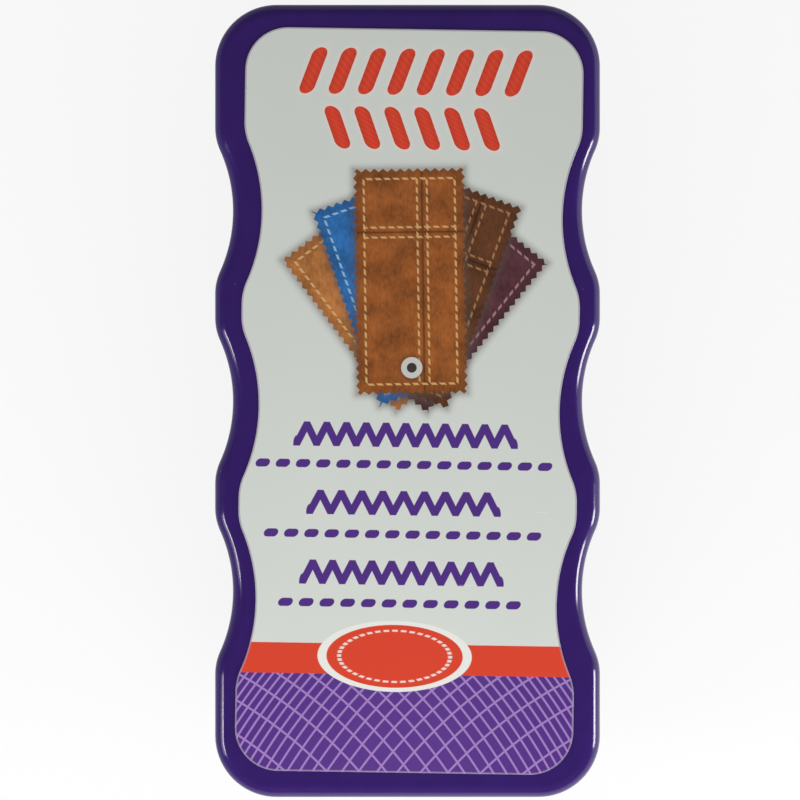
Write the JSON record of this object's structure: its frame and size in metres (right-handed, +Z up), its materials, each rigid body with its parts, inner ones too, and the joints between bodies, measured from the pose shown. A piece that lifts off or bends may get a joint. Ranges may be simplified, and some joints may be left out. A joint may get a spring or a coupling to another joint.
{
  "type": "suede brush",
  "caption": "Hand brush for suede and nubuck: a waved plastic handle with a flat labelled back and rows of nylon and brass bristles below.",
  "frame": {"origin": "centre of the box's underside, on the plane that the bristle tips stand on", "axes": "+Z up, from the bristle tips to the labelled back; Y along the handle, with the top of the label's print towards +Y; X across"},
  "size_m": [0.0586, 0.1204, 0.0347],
  "materials": {
    "handle_plastic": "deep purple injection moulding, glossy",
    "label_film": "printed self-adhesive film, glossy",
    "plate_plastic": "purple moulding, satin",
    "nylon_bristle": "natural nylon filament",
    "brass_bristle": "crimped brass wire",
    "anchor_steel": "flat steel wire"
  },
  "bodies": {
    "root": {"handle_shell": "handle_plastic", "label": "label_film", "bristle_plate": "plate_plastic", "nylon_row_1": "nylon_bristle", "nylon_row_2": "nylon_bristle", "nylon_row_3": "nylon_bristle", "nylon_row_4": "nylon_bristle", "brass_row_1": "brass_bristle", "brass_row_2": "brass_bristle", "brass_row_3": "brass_bristle", "brass_row_4": "brass_bristle", "tuft_anchors": "anchor_steel"}
  },
  "joints": []
}
